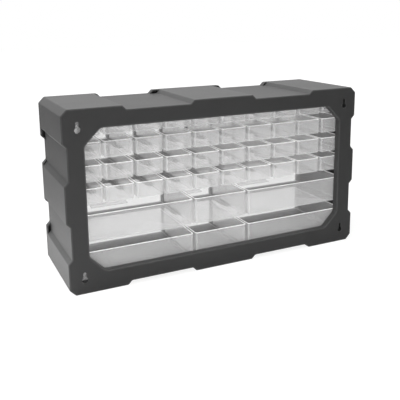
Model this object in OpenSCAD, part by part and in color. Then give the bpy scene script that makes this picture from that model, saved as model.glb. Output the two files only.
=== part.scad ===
/* [Case] */
// Width of the case, across the raised lugs
case_w = 500; // [470:1:560]
// Height of the case, across the raised lugs
case_h = 270; // [255:1:310]
// Depth of the case, from the back face to the front frame
case_d = 150; // [120:1:200]
// Thickness of the moulded walls
wall = 3; // [2:0.1:3.6]
// Height of the raised lugs on all four sides
lug = 6; // [3:0.5:7]
// Bevel on the four outer corners
corner = 9; // [4:0.5:14]
// Length of the lugs at the ends of the top and the bottom
top_end_lug = 88; // [60:1:110]
// Length of the lug in the middle of the top and the bottom
top_mid_lug = 100; // [60:1:140]
// Length of the lugs at the ends of the two sides
side_end_lug = 48; // [30:1:60]
// Length of the lug in the middle of the two sides
side_mid_lug = 54; // [30:1:70]

/* [Rear window] */
// Width of the back rim beside the window
rim_w = 31.5; // [30:0.5:40]
// Height of the back rim above and below the window
rim_h = 29.5; // [24:0.5:36]
// Bevel on the corners of the window
window_corner = 24; // [16:1:30]
// Rounding where the bevels meet the straight edges of the window
window_r = 10; // [2:0.5:12]
// Depth of the lip that runs round the window, from the back face
lip_d = 11; // [6:0.5:14]
// Thickness of the lip
lip_t = 2.5; // [1.5:0.1:3]

/* [Hang slots] */
// Radius of the round part, which passes a screw head
slot_head_r = 4.5; // [3.5:0.1:5]
// Width of the narrow part, which holds the screw's shank
slot_w = 4.8; // [3:0.1:6]
// Height from the centre of the round part to the centre of the slot's end
slot_rise = 9.5; // [6:0.5:12]
// Distance of the slots from the sides of the case
slot_inset = 23; // [18:0.5:25]
// Height of the lower slots
slot_low = 21; // [18:0.5:24]
// Distance of the upper slots from the top of the case
slot_high = 30; // [26:0.5:34]

/* [Front frame] */
// Depth of the front frame
frame_d = 10; // [8:0.5:14]
// Thickness of the front frame's face
frame_t = 3; // [2:0.1:4]
// Thickness of the front frame's skirt
skirt_t = 2.5; // [1.5:0.1:3]
// How much longer the frame's end lugs are on the top and the bottom
frame_top_end = 4; // [0:0.5:10]
// How much longer the frame's middle lug is at each end on the top and the bottom
frame_top_mid = 12; // [0:0.5:16]
// How much longer the frame's end lugs are on the sides
frame_side_end = 13; // [0:0.5:14]
// How much longer the frame's middle lug is at each end on the sides
frame_side_mid = 3; // [0:0.5:8]
// Width of the upright bars between drawers
bar_w = 2.5; // [2:0.1:4]

/* [Drawer rows] */
// Number of small drawers in a row
columns = 10; // [8:2:12]
// Width of the middle large drawer, counted in small ones
middle_span = 2; // [2:2:4]
// Number of rows of small drawers
small_rows = 4; // [3:1:5]
// Number of rows of large drawers
large_rows = 2; // [1:1:2]
// Space beside the drawers, from the outside of the lugs
side_margin = 13.5; // [12.5:0.5:18]
// Height of the lowest drawers' floor line
floor_z = 14.3; // [13.5:0.1:18]
// Height above the top row's cells, to the outside of the lugs
top_margin = 9.7; // [9.5:0.1:16]
// Height of a row of large drawers
large_pitch = 56; // [48:0.5:62]

/* [Runners] */
// Thickness of the runners and of the strip that joins them
runner_t = 2; // [1.5:0.1:3]
// How far the runners stop short of the drawers' backs
runner_short = 62; // [45:1:80]
// Width of a runner
runner_w = 13; // [12:0.5:16]
// Width of a runner at its rear end
runner_end_w = 8; // [6:0.5:12]
// Length of the narrowing at a runner's rear end
runner_taper = 12; // [8:1:20]
// Depth of the strip along the front that joins the runners
strip_d = 17; // [12:0.5:24]
// Gap between a set of runners and the case wall beside it
runner_end_gap = 0.3; // [0.2:0.1:0.6]
// Thickness of the ledges that carry the end runners
ledge_t = 2.5; // [1.5:0.1:3]
// Length of the tongues that carry the strip's front edge
tongue_l = 6; // [4:0.5:10]
// Thickness of the tongues
tongue_t = 1.5; // [1:0.1:2]
// Height of the guide ribs between drawers
rib_h = 3; // [2:0.5:5]
// Width of the guide ribs
rib_w = 2; // [1.5:0.1:2.5]

/* [Drawers] */
// Thickness of the drawer walls
drawer_wall = 1.4; // [1:0.1:2]
// Thickness of the drawer fronts
drawer_front_t = 2.2; // [1.6:0.1:3]
// Bevel on the drawers' rear and bottom edges
drawer_corner = 3.5; // [2.5:0.5:4.5]
// Height from the rim of a small drawer to the drawer above it
small_rim_gap = 8.3; // [7:0.1:12]
// Height from the rim of a large drawer to the drawer above it
large_rim_gap = 13.5; // [10:0.5:18]
// Gap between a drawer's walls and the bars beside it
side_gap = 0.75; // [0.5:0.05:1]
// Gap between a drawer and the runners under it
runner_gap = 0.3; // [0.2:0.05:0.5]
// Gap round a drawer's front
front_gap = 0.3; // [0.2:0.05:0.5]
// Gap between the drawers and the window's lip
rear_gap = 1; // [0.5:0.1:2]
// Width of the slot for a loose divider, halfway along the narrower drawers
divider_slot = 1.6; // [1.2:0.1:2.5]
// Thickness of the two ribs beside that slot, and how far they stand out
divider_rib = 1; // [0.6:0.1:1.5]

/* [Pulls] */
// How far the pulls stand out
pull_d = 10; // [6:0.5:14]
// Width of a small drawer's pull
small_pull_w = 24; // [16:1:32]
// Width of a large drawer's pull
large_pull_w = 64; // [40:1:76]
// Thickness of the pulls
pull_t = 2; // [1.5:0.1:3]
// Height of a pull's upturned edge
pull_edge = 4; // [2:0.5:6]
// Height of the pulls above the drawer's bottom
pull_z = 6; // [4:0.5:8]
// Width of the rim round the label area
label_rim = 1.2; // [0.8:0.1:2]
// How far that rim stands out
label_rise = 0.6; // [0.4:0.1:1]
// Height of the label area
label_h = 12; // [9:0.5:13]
// How far the label area reaches past the pull at each end
label_over = 5; // [2:0.5:7]

/* [Hidden] */
// How far a cut runs past the face that it opens
cut = 1;

back_y = (case_d + pull_d) / 2;
front_y = back_y - case_d;
shell_y = front_y + frame_d;
drawer_back_y = back_y - lip_d - rear_gap;
drawer_front_y = front_y + drawer_front_t;
runner_back_y = drawer_back_y - runner_short;

zone_w = case_w - 2 * side_margin;
pitch = zone_w / columns;
rows = small_rows + large_rows;
zone_top = case_h - top_margin;
small_pitch = (zone_top - floor_z - large_rows * large_pitch) / small_rows;
runner_half = case_w / 2 - lug - wall - runner_end_gap;
window_w = case_w - 2 * rim_w;
window_h = case_h - 2 * rim_h;

// Spans of the large drawers, counted in small ones
wide_span = (columns - middle_span) / 2;
large_spans = [wide_span, middle_span, wide_span];
large_names = ["wide_drawer_left_", "middle_drawer_", "wide_drawer_right_"];

function is_small(row) = row <= small_rows;
function has_divider(row, i) = cells(row)[i] <= middle_span;
function row_pitch(row) = is_small(row) ? small_pitch : large_pitch;
function row_floor(row) = is_small(row)
    ? floor_z + large_rows * large_pitch + (small_rows - row) * small_pitch
    : floor_z + (rows - row) * large_pitch;
function wall_height(row) = row_pitch(row) - (is_small(row) ? small_rim_gap : large_rim_gap);
function cells(row) = is_small(row) ? [for (i = [1 : columns]) 1] : large_spans;
function span_start(row, i) = i == 0 ? 0 : span_start(row, i - 1) + cells(row)[i - 1];
function cell_left(row, i) = span_start(row, i) * pitch - zone_w / 2;
function cell_w(row, i) = cells(row)[i] * pitch;
function small_name(row, i) = str("small_drawer_", row, "_", i + 1);
function drawer_name(row, i) = is_small(row)
    ? small_name(row, i)
    : str(large_names[i], row - small_rows);
function runners_name(row) = str("runners_", row);

// One side of the lugged outline, as [distance along the side, depth below the lugs]
function side_points(length, end_lug, mid_lug, inset) =
    let (q = inset * tan(22.5), a = end_lug, b = (length - mid_lug) / 2, low = lug + inset)
    let (half = [
        [corner + q, inset], [a - q, inset], [a + lug - q, low],
        [b - lug + q, low], [b + q, inset]
    ])
    concat(half, [for (i = [len(half) - 1 : -1 : 0]) [length - half[i][0], half[i][1]]]);

// Outline of the case in X and Z, drawn in by inset all round
function outline(end_x, mid_x, end_z, mid_z, inset = 0) =
    let (x = side_points(case_w, end_x, mid_x, inset), z = side_points(case_h, end_z, mid_z, inset))
    concat(
        [for (p = x) [p[0] - case_w / 2, p[1]]],
        [for (p = z) [case_w / 2 - p[1], p[0]]],
        [for (p = x) [case_w / 2 - p[0], case_h - p[1]]],
        [for (p = z) [p[1] - case_w / 2, case_h - p[0]]]
    );

function shell_outline(inset = 0) =
    outline(top_end_lug, top_mid_lug, side_end_lug, side_mid_lug, inset);
function frame_outline(inset = 0) = outline(
    top_end_lug + frame_top_end, top_mid_lug + 2 * frame_top_mid,
    side_end_lug + frame_side_end, side_mid_lug + 2 * frame_side_mid, inset
);

// A convex outline with every corner rounded to radius r
function unit(v) = v / norm(v);
function rounded(points, r, steps = 6) = [
    for (i = [0 : len(points) - 1])
        let (
            p = points[i],
            a = unit(points[(i + len(points) - 1) % len(points)] - p),
            b = unit(points[(i + 1) % len(points)] - p),
            half = acos(a * b) / 2,
            centre = p + unit(a + b) * r / sin(half),
            first = p + a * r / tan(half) - centre,
            start = atan2(first[1], first[0])
        )
        for (k = [0 : steps])
            let (t = start + (180 - 2 * half) * k / steps)
            centre + r * [cos(t), sin(t)]
];

// The rear window, grown by grow all round
function window_points(grow = 0) =
    let (w = window_w / 2 + grow, h = window_h / 2 + grow, c = window_corner + grow * (2 - sqrt(2)))
    rounded([
        [c - w, -h], [w - c, -h], [w, c - h], [w, h - c],
        [w - c, h], [c - w, h], [-w, h - c], [-w, c - h]
    ], window_r + grow);

// Extrudes a shape drawn in X and Z from y0 to y1
module along_y(y0, y1) {
    translate([0, y1, 0]) rotate([90, 0, 0]) linear_extrude(y1 - y0) children();
}

// A box given by two corners
module box(low, high) {
    translate(low) cube(high - low);
}

module window_shape(grow = 0) {
    translate([0, case_h / 2]) polygon(window_points(grow));
}

// One hang slot: a round entry with a narrow slot above it
module hang_slot() {
    circle(r = slot_head_r, $fn = 48);
    translate([-slot_w / 2, 0]) square([slot_w, slot_rise]);
    translate([0, slot_rise]) circle(r = slot_w / 2, $fn = 32);
}

module hang_slots() {
    for (side = [-1, 1])
        for (z = [slot_low, case_h - slot_high])
            translate([side * (case_w / 2 - slot_inset), z]) hang_slot();
}

// The ledge under an end runner, on the case's right wall
module ledge(row) {
    top = row_floor(row) - runner_t;
    box([zone_w / 2, shell_y, top - ledge_t], [case_w / 2, runner_back_y, top]);
}

// The ledges that carry both ends of each set of runners
module ledges() {
    intersection() {
        for (row = [1 : rows]) {
            ledge(row);
            mirror([1, 0, 0]) ledge(row);
        }
        along_y(shell_y, back_y) polygon(shell_outline(wall / 2));
    }
}

module case_shell() {
    color("#3c3d3f") {
        difference() {
            union() {
                difference() {
                    along_y(shell_y, back_y) polygon(shell_outline());
                    along_y(shell_y - cut, back_y - wall) polygon(shell_outline(wall));
                }
                along_y(back_y - lip_d, back_y) window_shape(lip_t);
                ledges();
            }
            along_y(back_y - lip_d - cut, back_y + cut) window_shape();
            along_y(back_y - wall - cut, back_y + cut) hang_slots();
        }
    }
}

// The opening of one drawer in the front grid, through the frame's depth
module grid_opening(row, i) {
    left = cell_left(row, i);
    low = row_floor(row);
    box(
        [left + bar_w / 2, front_y - cut, low],
        [left + cell_w(row, i) - bar_w / 2, shell_y + cut, low + row_pitch(row) - runner_t]
    );
}

module front_frame() {
    color("#333436") {
        difference() {
            union() {
                along_y(front_y, front_y + frame_t) polygon(frame_outline());
                along_y(front_y, shell_y) difference() {
                    polygon(frame_outline());
                    polygon(frame_outline(skirt_t));
                }
                box(
                    [-(zone_w + bar_w) / 2, front_y, floor_z - runner_t],
                    [(zone_w + bar_w) / 2, shell_y, zone_top]
                );
            }
            for (row = [1 : rows])
                for (i = [0 : len(cells(row)) - 1]) grid_opening(row, i);
        }
        for (row = [1 : rows]) {
            top = row_floor(row) - runner_t;
            box(
                [-zone_w / 2, shell_y - frame_t, top - tongue_t],
                [zone_w / 2, shell_y + tongue_l, top]
            );
        }
    }
}

// Plan of one runner, which narrows at its rear end
module runner_plan(x) {
    y = runner_back_y - runner_taper;
    polygon([
        [x - runner_w / 2, shell_y], [x + runner_w / 2, shell_y], [x + runner_w / 2, y],
        [x + runner_end_w / 2, runner_back_y], [x - runner_end_w / 2, runner_back_y],
        [x - runner_w / 2, y]
    ]);
}

// Plan of a set of runners, one under each gap between drawers, joined by a strip along the front
module runners_plan(row) {
    translate([-runner_half, shell_y]) square([2 * runner_half, strip_d]);
    intersection() {
        translate([-runner_half, shell_y]) square([2 * runner_half, runner_back_y - shell_y]);
        for (i = [0 : len(cells(row))]) runner_plan(span_start(row, i) * pitch - zone_w / 2);
    }
}

// A set of runners with guide ribs between the drawers that slide on it
module runners(row) {
    top = row_floor(row);
    color("#2f3032") {
        translate([0, 0, top - runner_t]) linear_extrude(runner_t) runners_plan(row);
        for (i = [0 : len(cells(row))]) {
            x = span_start(row, i) * pitch - zone_w / 2;
            box([x - rib_w / 2, shell_y, top], [x + rib_w / 2, runner_back_y, top + rib_h]);
        }
    }
}

// Section of a drawer across its width, with bevelled bottom edges
module tub_section(w, h, c) {
    polygon([[c - w / 2, 0], [w / 2 - c, 0], [w / 2, c], [w / 2, h], [-w / 2, h], [-w / 2, c]]);
}

// Plan of a drawer, with bevelled rear corners
module tub_plan(w, y0, y1, c) {
    polygon([
        [-w / 2, y0], [w / 2, y0], [w / 2, y1 - c],
        [w / 2 - c, y1], [c - w / 2, y1], [-w / 2, y1 - c]
    ]);
}

// The open tub behind a drawer's front, standing on z = 0 and centred on x = 0
module tub(w, h) {
    difference() {
        intersection() {
            along_y(drawer_front_y, drawer_back_y) tub_section(w, h, drawer_corner);
            linear_extrude(h) tub_plan(w, drawer_front_y, drawer_back_y, drawer_corner);
        }
        intersection() {
            along_y(drawer_front_y, drawer_back_y)
                translate([0, drawer_wall])
                    tub_section(w - 2 * drawer_wall, h, drawer_corner - drawer_wall);
            linear_extrude(h + cut)
                tub_plan(
                    w - 2 * drawer_wall, drawer_front_y,
                    drawer_back_y - drawer_wall, drawer_corner - drawer_wall
                );
        }
    }
}

// The two ribs on the right wall that hold a loose divider
module divider_ribs(w, h) {
    x = w / 2 - drawer_wall;
    y = (drawer_front_y + drawer_back_y) / 2;
    for (y0 = [y - divider_slot / 2 - divider_rib, y + divider_slot / 2])
        box([x - divider_rib, y0, drawer_wall], [x, y0 + divider_rib, h]);
}

// The finger pull, a shelf with an upturned edge, in front of the drawer's face
module pull(w) {
    translate([-w / 2, 0, pull_z])
        rotate([90, 0, 90])
            linear_extrude(w)
                polygon([
                    [front_y, 0], [front_y - pull_d + pull_t, 0], [front_y - pull_d, pull_t],
                    [front_y - pull_d, pull_edge], [front_y - pull_d + pull_t, pull_edge],
                    [front_y - pull_d + pull_t, pull_t], [front_y, pull_t]
                ]);
}

// The raised rim round the label area above the pull
module label_frame(w, front_h) {
    y0 = front_y - label_rise;
    z1 = front_h - label_rim;
    z0 = z1 - label_h;
    difference() {
        box([-w / 2, y0, z0], [w / 2, front_y, z1]);
        box(
            [label_rim - w / 2, y0 - cut, z0 + label_rim],
            [w / 2 - label_rim, front_y, z1 - label_rim]
        );
    }
}

// One drawer: front, tub, pull and label rim
module drawer(row, i) {
    w = cell_w(row, i) - bar_w;
    h = wall_height(row);
    front_h = row_pitch(row) - runner_t - front_gap - runner_gap;
    pull_w = is_small(row) ? small_pull_w : large_pull_w;
    tint = is_small(row) ? "#dfe3e4" : "#d3d8da";
    translate([cell_left(row, i) + cell_w(row, i) / 2, 0, row_floor(row) + runner_gap])
        color(tint) {
            box(
                [front_gap - w / 2, front_y, 0],
                [w / 2 - front_gap, drawer_front_y, front_h]
            );
            tub(w - 2 * side_gap, h);
            if (has_divider(row, i)) {
                divider_ribs(w - 2 * side_gap, h);
                mirror([1, 0, 0]) divider_ribs(w - 2 * side_gap, h);
            }
            pull(pull_w);
            label_frame(pull_w + 2 * label_over, front_h);
        }
}

case_shell();
front_frame();
for (row = [1 : rows])
    runners(row);
for (row = [1 : rows])
    for (i = [0 : len(cells(row)) - 1])
        drawer(row, i);
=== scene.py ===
import math

import bmesh
import bpy
from mathutils import Matrix, Vector


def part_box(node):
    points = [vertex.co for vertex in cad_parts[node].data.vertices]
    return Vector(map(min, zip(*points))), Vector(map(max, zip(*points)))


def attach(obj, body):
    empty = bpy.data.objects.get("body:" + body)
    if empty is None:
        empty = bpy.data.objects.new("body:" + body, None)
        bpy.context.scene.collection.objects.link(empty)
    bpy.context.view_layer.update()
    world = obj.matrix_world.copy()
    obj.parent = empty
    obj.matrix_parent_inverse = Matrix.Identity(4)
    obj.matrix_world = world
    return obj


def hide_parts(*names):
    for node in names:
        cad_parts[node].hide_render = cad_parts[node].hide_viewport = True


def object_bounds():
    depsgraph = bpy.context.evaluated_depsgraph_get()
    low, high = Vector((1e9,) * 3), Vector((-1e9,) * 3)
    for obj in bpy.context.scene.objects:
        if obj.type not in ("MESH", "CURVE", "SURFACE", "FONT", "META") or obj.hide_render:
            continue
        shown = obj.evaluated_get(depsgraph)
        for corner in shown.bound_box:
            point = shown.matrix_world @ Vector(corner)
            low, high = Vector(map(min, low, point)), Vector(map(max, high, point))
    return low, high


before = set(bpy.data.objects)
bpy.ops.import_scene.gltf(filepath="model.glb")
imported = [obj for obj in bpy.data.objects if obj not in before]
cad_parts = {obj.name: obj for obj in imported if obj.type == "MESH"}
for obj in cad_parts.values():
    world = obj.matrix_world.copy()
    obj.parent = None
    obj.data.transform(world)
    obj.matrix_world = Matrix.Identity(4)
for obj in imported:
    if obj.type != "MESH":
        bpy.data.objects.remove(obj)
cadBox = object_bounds()
mm = 0.001
print("frame loaded,", len(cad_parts), "nodes")


# outlines: a path is a list of (point, normal), and an inset moves each point against its normal

def arc(centre, radius, start, turn, steps):  # a path along part of a circle
    path = []
    for k in range(steps + 1):
        angle = start + turn * k / steps
        normal = Vector((math.cos(angle), math.sin(angle)))
        path.append((centre + normal * radius, normal))
    return path


def roundedPath(corners, radius, steps=4):
    path = []
    for i, corner in enumerate(corners):
        before = (corner - corners[i - 1]).normalized()
        after = (corners[(i + 1) % len(corners)] - corner).normalized()
        first = Vector((before.y, -before.x))
        second = Vector((after.y, -after.x))
        turn = math.atan2(first.x * second.y - first.y * second.x, first.dot(second))
        side = 1 if turn > 0 else -1  # an inner corner's arc bends the other way
        centre = corner - (first + second) * side * radius / (1 + first.dot(second))
        path += arc(centre, side * radius, math.atan2(first.y, first.x), turn, steps)
    return path


def rectanglePath(x0, z0, x1, z1, radius):
    return roundedPath([Vector(p) for p in ((x0, z0), (x1, z0), (x1, z1), (x0, z1))], radius, steps=2)


def softProfile(corners, radii, steps=3):  # an open line whose inner corners become curves
    line = [Vector(corners[0])]
    for i in range(1, len(corners) - 1):
        corner = Vector(corners[i])
        back = (Vector(corners[i - 1]) - corner).normalized()
        on = (Vector(corners[i + 1]) - corner).normalized()
        half = back.angle(on) / 2
        start = corner + back * radii[i - 1] / math.tan(half)
        end = corner + on * radii[i - 1] / math.tan(half)
        for k in range(steps + 1):
            t = k / steps
            line.append(start * (1 - t) ** 2 + corner * 2 * t * (1 - t) + end * t * t)
    line.append(Vector(corners[-1]))
    return line


# the axis along which a profile's depth runs, with lengths in millimetres

def alongX(u, v, depth):
    return Vector((depth, u, v)) * mm


def alongY(u, v, depth):
    return Vector((u, depth, v)) * mm


def alongZ(u, v, depth):
    return Vector((u, v, depth)) * mm


# meshes: a vertex layer marks the vertices on edges, for rubbed wear and a painted edge highlight, and
# "raised" marks those on the lugs

bendCosine = 0.995  # where a profile turns by an angle with a smaller cosine, it makes an edge
sharpAngle = math.radians(40)


def markLayer(mesh, name):
    return mesh.verts.layers.float.get(name) or mesh.verts.layers.float.new(name)


def addLoop(mesh, path, place, depth, inset, wearAndHighlight=0.0):
    layer = markLayer(mesh, "edgeWearAndHighlight")
    loop = []
    for point, normal in path:
        moved = point - normal * inset
        vert = mesh.verts.new(place(moved.x, moved.y, depth))
        vert[layer] = wearAndHighlight
        loop.append(vert)
    return loop


def bridge(mesh, first, second, start=0):
    for i in range(start, len(first)):
        k = (i + 1) % len(first)
        mesh.faces.new((first[i], first[k], second[k], second[i]))


def sweep(mesh, path, profile, place):  # profile is a line of (depth, inset)
    loops = []
    for i, (depth, inset) in enumerate(profile):
        bend = 0.0
        if 0 < i < len(profile) - 1:
            before = (profile[i] - profile[i - 1]).normalized()
            after = (profile[i + 1] - profile[i]).normalized()
            bend = 1.0 if before.dot(after) < bendCosine else 0.0
        loops.append(addLoop(mesh, path, place, depth, inset, bend))
    for first, second in zip(loops, loops[1:]):
        bridge(mesh, first, second)
    return loops


def fill(mesh, loops):  # a flat face between an outer loop and the holes in it
    edges = []
    for loop in loops:
        for i, vert in enumerate(loop):
            pair = (loop[i - 1], vert)
            edges.append(mesh.edges.get(pair) or mesh.edges.new(pair))
    bmesh.ops.triangle_fill(mesh, use_beauty=True, edges=edges)


def softBox(mesh, low, high, radius):
    low, high = Vector(low) * mm, Vector(high) * mm
    place = Matrix.Translation((low + high) / 2) @ Matrix.Diagonal((*(high - low), 1))
    made = bmesh.ops.create_cube(mesh, size=1, matrix=place)["verts"]
    edges = list(dict.fromkeys(edge for vert in made for edge in vert.link_edges))  # each edge once
    bmesh.ops.bevel(mesh, geom=edges, offset=radius * mm, segments=2, affect="EDGES", profile=0.5)


def bothSides(inner, outer):  # the same stretch at the left and at the right of the middle
    return (-outer, -inner), (inner, outer)


def meshFrom(mesh, name):
    bmesh.ops.recalc_face_normals(mesh, faces=mesh.faces)
    for face in mesh.faces:
        face.smooth = True
    for edge in mesh.edges:
        edge.smooth = edge.calc_face_angle(0) < sharpAngle
    data = bpy.data.meshes.new(name)
    mesh.to_mesh(data)
    mesh.free()
    return data


def addPiece(name, data, material, body, node, place=(0, 0, 0)):
    piece = bpy.data.objects.new(name, data)
    bpy.context.scene.collection.objects.link(piece)
    piece.location = place
    if not data.materials:
        data.materials.append(material)
    weighted = piece.modifiers.new("weighted", "WEIGHTED_NORMAL")
    weighted.keep_sharp = True
    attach(piece, body)
    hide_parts(node)


# shader nodes: tree is the node tree of a material, a group or the world

def feed(tree, socket, value):  # links an output, and sets a colour or a number
    if isinstance(value, bpy.types.NodeSocket):
        tree.links.new(value, socket)
    elif isinstance(value, tuple):
        socket.default_value = (*value, 1)
    else:
        socket.default_value = value


def attributeIn(tree, name):
    node = tree.nodes.new("ShaderNodeAttribute")
    node.attribute_name = name
    return node.outputs["Fac"]


def noiseIn(tree, coordinates, scale, detail):
    noise = tree.nodes.new("ShaderNodeTexNoise")
    feed(tree, noise.inputs["Vector"], coordinates)
    feed(tree, noise.inputs["Scale"], scale)
    feed(tree, noise.inputs["Detail"], detail)
    return noise.outputs["Fac"]


def mathIn(tree, operation, first, second):
    node = tree.nodes.new("ShaderNodeMath")
    node.operation = operation
    feed(tree, node.inputs[0], first)
    feed(tree, node.inputs[1], second)
    return node.outputs[0]


def mixIn(tree, factor, dark, light):
    mix = tree.nodes.new("ShaderNodeMix")
    mix.data_type = "RGBA"
    colours = [socket for socket in mix.inputs if socket.type == "RGBA"]
    feed(tree, mix.inputs[0], factor)
    feed(tree, colours[0], dark)
    feed(tree, colours[1], light)
    return next(socket for socket in mix.outputs if socket.type == "RGBA")


def rangeIn(tree, value, low, high, start=0.0, end=1.0):
    node = tree.nodes.new("ShaderNodeMapRange")
    feed(tree, node.inputs["Value"], value)
    feed(tree, node.inputs["From Min"], start)
    feed(tree, node.inputs["From Max"], end)
    feed(tree, node.inputs["To Min"], low)
    feed(tree, node.inputs["To Max"], high)
    return node.outputs["Result"]


# shader effects that several materials use

def newGroup(name, inputs, outputs):
    group = bpy.data.node_groups.new(name, "ShaderNodeTree")
    for labels, side in ((inputs, "INPUT"), (outputs, "OUTPUT")):
        for label in labels:
            group.interface.new_socket(name=label, in_out=side, socket_type="NodeSocketFloat")
    start = group.nodes.new("NodeGroupInput").outputs
    end = group.nodes.new("NodeGroupOutput").inputs
    where = group.nodes.new("ShaderNodeTexCoord").outputs["Object"]
    return group, start, end, where


def addGroup(tree, group, values):
    node = tree.nodes.new("ShaderNodeGroup")
    node.node_tree = group
    for label, value in values.items():
        node.inputs[label].default_value = value
    return node.outputs


grainSet = {"detail": 3, "cloudDetail": 4}
wearAndHighlightSet = {"detail": 2, "least": 0.7, "spread": 0.6}


def makeGrain():  # the fine texture that a spark-eroded mould leaves
    group, start, end, where = newGroup("mouldGrain", ["Scale", "Cloud Scale"], ["Height", "Cloud"])
    feed(group, end["Height"], noiseIn(group, where, start["Scale"], grainSet["detail"]))
    feed(group, end["Cloud"], noiseIn(group, where, start["Cloud Scale"], grainSet["cloudDetail"]))
    return group


def makeWearAndHighlight():  # rubbed edges with a painted edge highlight, broken up by noise
    group, start, end, where = newGroup("rubbedAndHighlitEdges", ["Amount", "Breakup"], ["Mask"])
    broken = noiseIn(group, where, start["Breakup"], wearAndHighlightSet["detail"])
    share = mathIn(group, "MULTIPLY", attributeIn(group, "edgeWearAndHighlight"), start["Amount"])
    rough = mathIn(group, "ADD", mathIn(group, "MULTIPLY", broken, wearAndHighlightSet["spread"]), wearAndHighlightSet["least"])
    feed(group, end["Mask"], mathIn(group, "MULTIPLY", share, rough))
    return group


mouldGrain = makeGrain()
rubbedAndHighlitEdges = makeWearAndHighlight()


def newMaterial(name):
    material = bpy.data.materials.new(name)
    material.use_nodes = True
    return material, material.node_tree, material.node_tree.nodes["Principled BSDF"].inputs


def addGrain(tree, shader, settings):  # bumps the surface, and returns the clouds that vary its finish
    values = {"Scale": settings["grainScale"], "Cloud Scale": settings["cloudScale"]}
    grain = addGroup(tree, mouldGrain, values)
    bump = tree.nodes.new("ShaderNodeBump")
    feed(tree, bump.inputs["Strength"], settings["grainStrength"])
    feed(tree, bump.inputs["Distance"], settings["grainDepth"])
    feed(tree, bump.inputs["Height"], grain["Height"])
    feed(tree, shader["Normal"], bump.outputs["Normal"])
    return grain["Cloud"]


def addWearAndHighlight(tree, settings):
    values = {"Amount": settings["wearAndHighlight"], "Breakup": settings["breakup"]}
    return addGroup(tree, rubbedAndHighlitEdges, values)["Mask"]


# the dark satin plastic of the case, the front frame and the runners

# the rubbed colour lightens the marked edges: rubbed wear, and a painted edge highlight
casePlasticSet = {
    "dark": (0.0195, 0.0194, 0.0194), "light": (0.0265, 0.0264, 0.0264), "rubbedAndHighlit": (0.11, 0.11, 0.11),
    "raised": (0.0275, 0.0274, 0.0274), "raisedGloss": 0.04, "roughness": (0.48, 0.57), "gloss": 0.3,
    "wearAndHighlight": 0.3, "breakup": 260,
    "cloudScale": 14, "grainScale": 2200, "grainStrength": 0.35, "grainDepth": 0.00012,
}
framePlasticSet = dict(casePlasticSet, dark=(0.0185, 0.0184, 0.0184), light=(0.0245, 0.0244, 0.0244))
runnerPlasticSet = dict(
    casePlasticSet, dark=(0.03, 0.031, 0.032), light=(0.04, 0.041, 0.042), wearAndHighlight=0.0, raisedGloss=0.0
)


def makePlastic(name, settings):
    material, tree, shader = newMaterial(name)
    cloud = addGrain(tree, shader, settings)
    raised = attributeIn(tree, "raised")
    sunk = mixIn(tree, cloud, settings["dark"], settings["light"])
    beforeEdges = mixIn(tree, raised, sunk, settings["raised"])
    # painted edge highlight together with wear: the marked edges turn lighter
    edgesWornAndHighlit = mixIn(tree, addWearAndHighlight(tree, settings), beforeEdges, settings["rubbedAndHighlit"])
    feed(tree, shader["Base Color"], edgesWornAndHighlit)
    satin = rangeIn(tree, cloud, *settings["roughness"])
    smoother = mathIn(tree, "MULTIPLY", raised, settings["raisedGloss"])
    feed(tree, shader["Roughness"], mathIn(tree, "SUBTRACT", satin, smoother))
    feed(tree, shader["Specular IOR Level"], settings["gloss"])
    return material


casePlastic = makePlastic("casePlastic", casePlasticSet)
framePlastic = makePlastic("framePlastic", framePlasticSet)
runnerPlastic = makePlastic("runnerPlastic", runnerPlasticSet)


# the drawers' clear plastic with a frosted mould finish, with a painted highlight on its marked edges and a
# painted glow all over

clearSet = {
    "base": (0.56, 0.558, 0.557), "edge": (1.0, 1.0, 1.0), "wearAndHighlight": 1.0, "breakup": 260,
    "paintedBodyGlow": (0.7, 0.7, 0.7), "paintedEdgeGlow": 0.2,  # a painted glow: emission standing in for the light that the walls pass on to each other
    "roughness": (0.30, 0.38), "ior": 1.49,
    "opacity": (0.23, 0.27), "edgeOpacity": 0.6, "shadowShare": 0.35,
    "cloudScale": 9, "grainScale": 1500, "grainStrength": 0.05, "grainDepth": 0.00006,
}


def makeClear():
    material, tree, shader = newMaterial("clearPlastic")
    cloud = addGrain(tree, shader, clearSet)
    # painted highlight: the marked rims, upright corners, foot and pull turn white and more opaque
    edge = addWearAndHighlight(tree, clearSet)
    feed(tree, shader["Base Color"], mixIn(tree, edge, clearSet["base"], clearSet["edge"]))
    # painted glow: emission all over the plastic, whiter on the marked edges
    feed(tree, shader["Emission Color"], mixIn(tree, edge, clearSet["paintedBodyGlow"], clearSet["edge"]))
    feed(tree, shader["Emission Strength"], clearSet["paintedEdgeGlow"])
    feed(tree, shader["Roughness"], rangeIn(tree, cloud, *clearSet["roughness"]))
    feed(tree, shader["IOR"], clearSet["ior"])
    rim = mathIn(tree, "MULTIPLY", edge, clearSet["edgeOpacity"])
    solid = mathIn(tree, "ADD", rangeIn(tree, cloud, *clearSet["opacity"]), rim)
    lampRay = tree.nodes.new("ShaderNodeLightPath").outputs["Is Shadow Ray"]
    share = rangeIn(tree, lampRay, 1.0, clearSet["shadowShare"])  # frosted plastic passes light on
    feed(tree, shader["Alpha"], mathIn(tree, "MULTIPLY", solid, share))
    return material


clearPlastic = makeClear()
print("materials made")


# the lugged outline that the case and the front frame share, in millimetres

lugSet = {"lug": 6, "corner": 9, "rounding": 3.2, "raisedShare": 0.6}
shellLow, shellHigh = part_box("case_shell")
caseW, caseH = (shellHigh.x - shellLow.x) / mm, (shellHigh.z - shellLow.z) / mm
shellFront, caseBack = shellLow.y / mm, shellHigh.y / mm


def sidePoints(length, endLug, midLug):
    lug, corner = lugSet["lug"], lugSet["corner"]
    middle = (length - midLug) / 2
    half = [(corner, 0), (endLug, 0), (endLug + lug, lug), (middle - lug, lug), (middle, 0)]
    return half + [(length - a, b) for a, b in reversed(half)]


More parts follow.
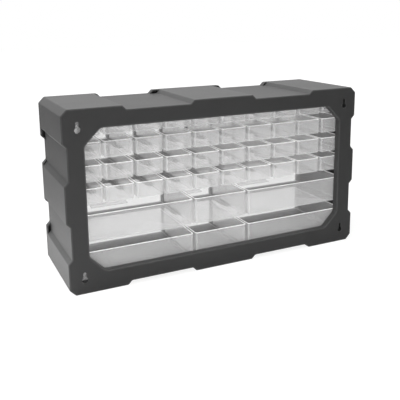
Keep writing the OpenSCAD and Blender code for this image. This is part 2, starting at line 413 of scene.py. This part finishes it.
def luggedPath(settings):
    across = sidePoints(caseW, settings["topEnd"], settings["topMid"])
    up = sidePoints(caseH, settings["sideEnd"], settings["sideMid"])
    half = caseW / 2
    corners = [Vector((a - half, b)) for a, b in across]
    corners += [Vector((half - b, a)) for a, b in up]
    corners += [Vector((half - a, caseH - b)) for a, b in across]
    corners += [Vector((b - half, caseH - a)) for a, b in up]
    return roundedPath(corners, lugSet["rounding"])


def markRaised(mesh):  # 1 on the lugs' outer faces and 0 in the recesses
    layer = markLayer(mesh, "raised")
    for vert in mesh.verts:
        x, z = abs(vert.co.x) / mm, abs(vert.co.z / mm - caseH / 2)
        sunk = min(caseW / 2 - x, caseH / 2 - z)
        vert[layer] = max(0.0, 1 - sunk / (lugSet["raisedShare"] * lugSet["lug"]))


# the case

caseSet = {
    "topEnd": 88, "topMid": 100, "sideEnd": 48, "sideMid": 54,  # how far the lugs reach
    "wall": 3, "edge": 1.2, "frontEdge": 0.4,
    "rimW": 31.5, "rimH": 29.5, "windowCorner": 24, "windowRounding": 10, "windowSteps": 6,
    "lipDepth": 11, "lip": 2.5, "lipEdge": 0.5,
    "holeRadius": 4.5, "entrySteps": 24, "slotHalf": 2.4, "slotSteps": 12, "slotRise": 9.5, "holeEdge": 0.4,
    "slotInset": 23, "slotLow": 21, "slotHigh": 30,  # from the sides, the bottom and the top
    "ledge": 2.5, "ledgeInside": 236.5, "ledgeEdge": 0.3,
}
runnerRows = range(1, 7)


def windowPath():
    w, h = caseW / 2 - caseSet["rimW"], caseH / 2 - caseSet["rimH"]
    cut, middle = caseSet["windowCorner"], caseH / 2
    corners = [
        (cut - w, -h), (w - cut, -h), (w, cut - h), (w, h - cut),
        (w - cut, h), (cut - w, h), (-w, h - cut), (-w, cut - h),
    ]
    points = [Vector((x, z + middle)) for x, z in corners]
    return roundedPath(points, caseSet["windowRounding"], caseSet["windowSteps"])


def keyholePath(x, z):  # the round entry, open at the top, and the end of the narrow slot
    radius, half = caseSet["holeRadius"], caseSet["slotHalf"]
    spread = math.asin(half / radius)
    entryTurn = math.tau - 2 * spread
    entry = arc(Vector((x, z)), radius, math.pi / 2 + spread, entryTurn, caseSet["entrySteps"])
    return entry + arc(Vector((x, z + caseSet["slotRise"])), half, 0, math.pi, caseSet["slotSteps"])


def addLedges(mesh):  # they carry the outer runners, and end in the wall, which is further out on a lug
    halfLug = lugSet["lug"] / 2
    endReach, midReach = caseSet["sideEnd"] + halfLug, caseSet["sideMid"] / 2 + halfLug
    lugs = (0, endReach), (caseH / 2, midReach), (caseH, endReach)
    for row in runnerRows:
        runnerLow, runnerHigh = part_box(f"runners_{row}")
        top, back = runnerLow.z / mm, runnerHigh.y / mm
        onLug = any(abs(top - z) < reach for z, reach in lugs)
        outside = caseW / 2 - caseSet["wall"] / 2 - (0 if onLug else lugSet["lug"])
        for left, right in bothSides(caseSet["ledgeInside"], outside):
            under = (left, shellFront, top - caseSet["ledge"])
            softBox(mesh, under, (right, back, top), caseSet["ledgeEdge"])


def makeCase():
    mesh = bmesh.new()
    wall, edge, lip = caseSet["wall"], caseSet["edge"], caseSet["lip"]
    frontEdge, lipEdge, holeEdge = caseSet["frontEdge"], caseSet["lipEdge"], caseSet["holeEdge"]
    inside, lipEnd = caseBack - wall, caseBack - caseSet["lipDepth"]
    wallLine = [(inside, wall), (shellFront, wall), (shellFront, 0), (caseBack, 0), (caseBack, 2 * edge)]
    lipLine = [(caseBack, -2 * edge), (caseBack, 0), (lipEnd, 0), (lipEnd, -lip), (inside, -lip)]
    holeLine = [(caseBack, -2 * holeEdge), (caseBack, 0), (inside, 0)]
    walls = sweep(mesh, luggedPath(caseSet), softProfile(wallLine, [frontEdge, frontEdge, edge]), alongY)
    window = sweep(mesh, windowPath(), softProfile(lipLine, [edge, lipEdge, lipEdge]), alongY)
    backLoops, insideLoops = [walls[-1], window[0]], [walls[0], window[-1]]
    for side in (-1, 1):
        for z in (caseSet["slotLow"], caseH - caseSet["slotHigh"]):
            path = keyholePath(side * (caseW / 2 - caseSet["slotInset"]), z)
            hole = sweep(mesh, path, softProfile(holeLine, [holeEdge]), alongY)
            backLoops.append(hole[0])
            insideLoops.append(hole[-1])
    fill(mesh, backLoops)
    fill(mesh, insideLoops)
    addLedges(mesh)
    markRaised(mesh)
    data = meshFrom(mesh, "caseShell")
    addPiece("caseShellDressed", data, casePlastic, "cabinet", "case_shell")


makeCase()
print("case made")


# the front frame with its grid of drawer openings

frameSet = {
    "topEnd": 92, "topMid": 124, "sideEnd": 61, "sideMid": 60,
    "skirt": 2.5, "face": 3, "edge": 1.2, "backEdge": 0.4,
    "gap": 0.3, "bar": 2.5, "sill": 2, "blockRounding": 1, "blockEdge": 0.3,  # the block with the openings
    "holeRounding": 0.8, "holeEdge": 0.4, "holeFlat": 0.6, "holeBackEdge": 0.25, "holeBackFlat": 0.4,
    "tongue": 1.5, "tongueReach": 6, "tongueEdge": 0.2,
}
drawerNodes = sorted(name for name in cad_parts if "drawer" in name)


def drawerCells():  # each drawer's opening: left, bottom, right and top
    gap = frameSet["gap"]
    cells = []
    for node in drawerNodes:
        low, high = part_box(node)
        cells.append((low.x / mm - gap, low.z / mm - gap, high.x / mm + gap, high.z / mm + gap))
    return cells


def addTongues(mesh):  # they carry the front edges of the runners
    half, back = caseSet["ledgeInside"], shellFront + frameSet["tongueReach"]
    for row in runnerRows:
        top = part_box(f"runners_{row}")[0].z / mm
        under = (-half, shellFront - frameSet["face"], top - frameSet["tongue"])
        softBox(mesh, under, (half, back, top), frameSet["tongueEdge"])


def makeFrontFrame():
    mesh = bmesh.new()
    front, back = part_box("front_frame")[0].y / mm, shellFront
    inside = front + frameSet["face"]
    skirt, edge, backEdge = frameSet["skirt"], frameSet["edge"], frameSet["backEdge"]
    outerLine = [(inside, skirt), (back, skirt), (back, 0), (front, 0), (front, 2 * edge)]
    outer = sweep(mesh, luggedPath(frameSet), softProfile(outerLine, [backEdge, backEdge, edge]), alongY)
    cells = drawerCells()
    bar, sill, blockEdge = frameSet["bar"], frameSet["sill"], frameSet["blockEdge"]
    left, bottom = min(cell[0] for cell in cells) - bar, min(cell[1] for cell in cells) - sill
    right, top = max(cell[2] for cell in cells) + bar, max(cell[3] for cell in cells) + sill
    block = rectanglePath(left, bottom, right, top, frameSet["blockRounding"])
    blockLine = [(back, 2 * blockEdge), (back, 0), (inside, 0)]
    blockSides = sweep(mesh, block, softProfile(blockLine, [blockEdge]), alongY)
    holeLine = [(front, -frameSet["holeFlat"]), (front, 0), (back, 0), (back, -frameSet["holeBackFlat"])]
    profile = softProfile(holeLine, [frameSet["holeEdge"], frameSet["holeBackEdge"]])
    paths = [rectanglePath(*cell, frameSet["holeRounding"]) for cell in cells]
    holes = [sweep(mesh, path, profile, alongY) for path in paths]
    fill(mesh, [outer[-1]] + [hole[0] for hole in holes])
    fill(mesh, [blockSides[0]] + [hole[-1] for hole in holes])
    fill(mesh, [outer[0], blockSides[-1]])
    addTongues(mesh)
    markRaised(mesh)
    data = meshFrom(mesh, "frontFrame")
    addPiece("frontFrameDressed", data, framePlastic, "cabinet", "front_frame")


makeFrontFrame()
for row in runnerRows:
    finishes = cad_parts[f"runners_{row}"].data.materials
    finishes.clear()
    finishes.append(runnerPlastic)
print("front frame and runners made")


# the drawers: one mesh for each size, placed at each node of that size

drawerSet = {
    "wall": 1.4, "smallWall": 25.2, "largeWall": 42.5, "sideGap": 0.1, "draft": 0.5, "rim": 0.5,
    "planRounding": 4.3, "cornerSteps": 5, "bottomRounding": 3.4, "bottomFlat": 0.1,
    "frontThickness": 2.2, "frontEdge": 0.5, "intoFront": 1,
    "dividerSlot": 1.6, "dividerRib": 1, "ribEdge": 0.2,
    "rimGlow": 0.6, "glowFade": 0.3, "glowSlack": 0.1,  # how far down the rim its painted highlight reaches
    "cornerGlow": 0.22, "footGlow": 0.25, "footShare": 0.5, "pullGlow": 0.15,  # the painted highlight's strength, where the rim has 1
    "smallPull": 24, "largePull": 64, "pullDepth": 10, "pull": 2, "pullEdge": 4, "pullZ": 6,
    "pullRoot": 1, "pullRounding": 0.3, "pullEndInset": 0.25, "pullEndRounding": 0.2,
    "labelRim": 1.2, "labelRise": 0.6, "labelRoot": 0.2, "labelH": 12, "labelOver": 5, "labelEdge": 0.3,
    "labelOuter": 0.8, "labelInner": 0.5, "labelOuterFlat": 0.4, "labelInnerFlat": 0.35,
}
drawerSizes = {"small": "small_drawer_1_1", "middle": "middle_drawer_1", "wide": "wide_drawer_left_1"}


def tubPath(width, front, back):  # starts at the left front corner, where the walls run into the front
    radius, half, steps = drawerSet["planRounding"], width / 2, drawerSet["cornerSteps"]
    path = [(Vector((-half, front)), Vector((-1, 0))), (Vector((half, front)), Vector((1, 0)))]
    for x, start in ((half - radius, 0), (radius - half, math.pi / 2)):
        path += arc(Vector((x, back - radius)), radius, start, math.pi / 2, steps)
    return path


def tubProfile(height):  # up the outside, over the rim and down the inside, as (depth, inset)
    wall, draft, bottom = drawerSet["wall"], drawerSet["draft"], drawerSet["bottomRounding"]
    rim, reach = drawerSet["rim"], draft + bottom + drawerSet["bottomFlat"]
    glow = height - drawerSet["rimGlow"]
    fade = glow - drawerSet["glowFade"]
    outside = softProfile([(0, reach), (0, draft), (fade, 0)], [bottom])
    top = softProfile([(glow, 0), (height, 0), (height, wall), (glow, wall)], [rim, rim])
    inside = softProfile([(fade, wall), (wall, wall + draft), (wall, reach)], [bottom - wall])
    return outside + top + inside


def addTub(mesh, width, front, back, height):  # with a painted highlight at the rim, the upright corners and the foot
    path, profile = tubPath(width, front, back), tubProfile(height)
    loops = [addLoop(mesh, path, alongZ, depth, inset) for depth, inset in profile]
    wearAndHighlight = markLayer(mesh, "edgeWearAndHighlight")
    rimFrom = height - drawerSet["rimGlow"] - drawerSet["glowSlack"]
    footTo = drawerSet["footShare"] * drawerSet["bottomRounding"]
    for loop, (depth, inset) in zip(loops, profile):
        for vert, (_, normal) in zip(loop, path):
            corner = drawerSet["cornerGlow"] * (2 * normal.x * normal.y) ** 2
            foot = drawerSet["footGlow"] if 0 < depth < footTo and inset < drawerSet["wall"] else 0.0
            vert[wearAndHighlight] = 1.0 if depth > rimFrom else max(corner, foot)
    for first, second in zip(loops, loops[1:]):
        bridge(mesh, first, second, start=1)  # the front stays open, and its walls get one end face
    mesh.faces.new(loops[0])
    mesh.faces.new(loops[-1])
    mesh.faces.new([loop[0] for loop in loops] + [loop[1] for loop in reversed(loops)])


def addPull(mesh, width, front):
    thick, z = drawerSet["pull"], drawerSet["pullZ"]
    root, out = front + drawerSet["pullRoot"], front - drawerSet["pullDepth"]
    top = z + drawerSet["pullEdge"]
    corners = [
        (root, z), (out + thick, z), (out, z + thick), (out, top),
        (out + thick, top), (out + thick, z + thick), (root, z + thick),
    ]
    outline = roundedPath([Vector(c) for c in reversed(corners)], drawerSet["pullRounding"], steps=2)
    half, inset, rounding = width / 2, drawerSet["pullEndInset"], drawerSet["pullEndRounding"]
    profile = softProfile([(-half, inset), (-half, 0), (half, 0), (half, inset)], [rounding, rounding])
    ends = sweep(mesh, outline, profile, alongX)
    mesh.faces.new(ends[0])
    mesh.faces.new(ends[-1])
    # painted highlight: the whole pull is marked a little
    wearAndHighlight = markLayer(mesh, "edgeWearAndHighlight")
    for loop in ends:
        for vert in loop:
            vert[wearAndHighlight] = drawerSet["pullGlow"]


def addLabelRim(mesh, width, front, height):
    rim, half, top = drawerSet["labelRim"], width / 2, height - drawerSet["labelRim"]
    bottom = top - drawerSet["labelH"]
    root, crest = front + drawerSet["labelRoot"], front - drawerSet["labelRise"]
    outer = rectanglePath(-half, bottom, half, top, drawerSet["labelOuter"])
    inner = rectanglePath(rim - half, bottom + rim, half - rim, top - rim, drawerSet["labelInner"])
    sides = []
    for path, flat in ((outer, drawerSet["labelOuterFlat"]), (inner, -drawerSet["labelInnerFlat"])):
        profile = softProfile([(root, 0), (crest, 0), (crest, flat)], [drawerSet["labelEdge"]])
        sides.append(sweep(mesh, path, profile, alongY))
    fill(mesh, [side[-1] for side in sides])
    fill(mesh, [side[0] for side in sides])


def addDividerRibs(mesh, inner, middle, height):  # a pair on each side wall, with the slot between them
    rib, gap, wall = drawerSet["dividerRib"], drawerSet["dividerSlot"] / 2, drawerSet["wall"]
    for left, right in bothSides(inner - rib, inner):
        for y in (middle - gap - rib, middle + gap):
            softBox(mesh, (left, y, wall), (right, y + rib, height), drawerSet["ribEdge"])


def makeDrawerMesh(size, node):
    low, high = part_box(node)
    width, height = (high.x - low.x) / mm, (high.z - low.z) / mm
    front, back = low.y / mm + drawerSet["pullDepth"], high.y / mm
    behind = front + drawerSet["frontThickness"]
    wallH = drawerSet["smallWall" if size == "small" else "largeWall"]
    pullW = drawerSet["smallPull" if size == "small" else "largePull"]
    tubW = width - 2 * drawerSet["sideGap"]
    mesh = bmesh.new()
    addTub(mesh, tubW, behind - drawerSet["intoFront"], back, wallH)
    softBox(mesh, (-width / 2, front, 0), (width / 2, behind, height), drawerSet["frontEdge"])
    if size != "wide":
        addDividerRibs(mesh, tubW / 2 - drawerSet["wall"], (behind + back) / 2, wallH)
    addPull(mesh, pullW, front)
    addLabelRim(mesh, pullW + 2 * drawerSet["labelOver"], front, height)
    return meshFrom(mesh, size + "Drawer")


drawerMeshes = {size: makeDrawerMesh(size, node) for size, node in drawerSizes.items()}
for node in drawerNodes:
    low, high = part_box(node)
    data = drawerMeshes[node.split("_")[0]]
    place = ((low.x + high.x) / 2, 0, low.z)
    addPiece("clear_" + node, data, clearPlastic, node + "_body", node, place)
print("drawers made,", len(drawerNodes))


# stage, light and camera, in metres, with the camera's turn in degrees

stageSet = {
    "size": 12, "floor": (0.86, 0.86, 0.86), "floorSeen": (0.2, 0.2, 0.2), "floorRoughness": 0.9,
    "glow": (1.0, 1.0, 1.0), "floorGlow": (0.85, 1.0), "glowReach": (0.7, 1.8),
    "world": (1.0, 1.0, 1.0), "worldStrength": 0.22, "worldSeen": 1.0, "skyShine": 0.9,
    "clearBounces": 32,  # a line of sight crosses many drawer walls
}
lampSet = {
    "topLamp": {"place": (0.0, 0.2, 1.05), "size": (0.6, 0.8), "power": 9},
    "keyLamp": {"place": (0.9, 1.4, 0.3), "size": (1.0, 0.5), "power": 4.5},
    "sideLamp": {"place": (0.42, 0.0, 0.12), "size": (0.16, 0.3), "power": 0.8, "aim": (0.42, 0.0, 0.0)},
    "lowLamp": {"place": (0.0, 0.4, 0.1), "size": (0.6, 0.2), "power": 1.2, "aim": (0.0, 0.4, 0.0)},
    "frontLamp": {"place": (0.5, -0.4, 1.3), "size": (0.6, 0.4), "power": 10},
}
cameraSet = {
    "place": (0.4252, 0.8838, 0.3959), "turn": (78.845, 0.662, 154.377), "lens": 54.453, "shift": -0.17,
}


def makeFloor():
    bpy.ops.mesh.primitive_plane_add(size=stageSet["size"])
    floor = bpy.context.object
    floor.name = "floor"
    material, tree, shader = newMaterial("paleFloor")
    cameraRay = tree.nodes.new("ShaderNodeLightPath").outputs["Is Camera Ray"]
    feed(tree, shader["Base Color"], mixIn(tree, cameraRay, stageSet["floor"], stageSet["floorSeen"]))
    feed(tree, shader["Roughness"], stageSet["floorRoughness"])
    feed(tree, shader["Emission Color"], stageSet["glow"])
    away = tree.nodes.new("ShaderNodeVectorMath")
    away.operation = "LENGTH"
    feed(tree, away.inputs[0], tree.nodes.new("ShaderNodeTexCoord").outputs["Object"])
    # fades from the shadow near the object to plain white
    glow = rangeIn(tree, away.outputs["Value"], *stageSet["floorGlow"], *stageSet["glowReach"])
    feed(tree, shader["Emission Strength"], mathIn(tree, "MULTIPLY", cameraRay, glow))
    floor.data.materials.append(material)


def seenByEye(tree, shine):  # 1 for rays that show the background itself
    path = tree.nodes.new("ShaderNodeLightPath")
    gloss = mathIn(tree, "MULTIPLY", path.outputs["Is Glossy Ray"], shine)
    clear = mathIn(tree, "MAXIMUM", gloss, path.outputs["Is Transmission Ray"])
    return mathIn(tree, "MAXIMUM", path.outputs["Is Camera Ray"], clear)


def makeWorld():
    world = bpy.data.worlds.new("studio")
    bpy.context.scene.world = world
    world.use_nodes = True
    tree = world.node_tree
    background = tree.nodes["Background"].inputs
    seen = seenByEye(tree, stageSet["skyShine"])
    strength = rangeIn(tree, seen, stageSet["worldStrength"], stageSet["worldSeen"])
    feed(tree, background["Color"], stageSet["world"])
    feed(tree, background["Strength"], strength)


def makeLamps():
    middle = (cadBox[0] + cadBox[1]) / 2
    for name, lamp in lampSet.items():
        data = bpy.data.lights.new(name, "AREA")
        data.shape = "RECTANGLE"
        (data.size, data.size_y), data.energy = lamp["size"], lamp["power"]
        light = bpy.data.objects.new(name, data)
        light.visible_camera = False
        light.location = lamp["place"]
        aim = Vector(lamp.get("aim", middle)) - Vector(lamp["place"])
        light.rotation_euler = aim.to_track_quat("-Z", "Y").to_euler()
        bpy.context.scene.collection.objects.link(light)


def makeCamera():
    data = bpy.data.cameras.new("camera")
    data.lens, data.shift_y = cameraSet["lens"], cameraSet["shift"]
    camera = bpy.data.objects.new("camera", data)
    camera.location = cameraSet["place"]
    camera.rotation_euler = [math.radians(a) for a in cameraSet["turn"]]
    bpy.context.scene.collection.objects.link(camera)
    bpy.context.scene.camera = camera


makeFloor()
makeWorld()
makeLamps()
makeCamera()
bpy.context.scene.view_settings.view_transform = "Standard"
bpy.context.scene.cycles.transparent_max_bounces = stageSet["clearBounces"]
print("stage, lamps and camera made")
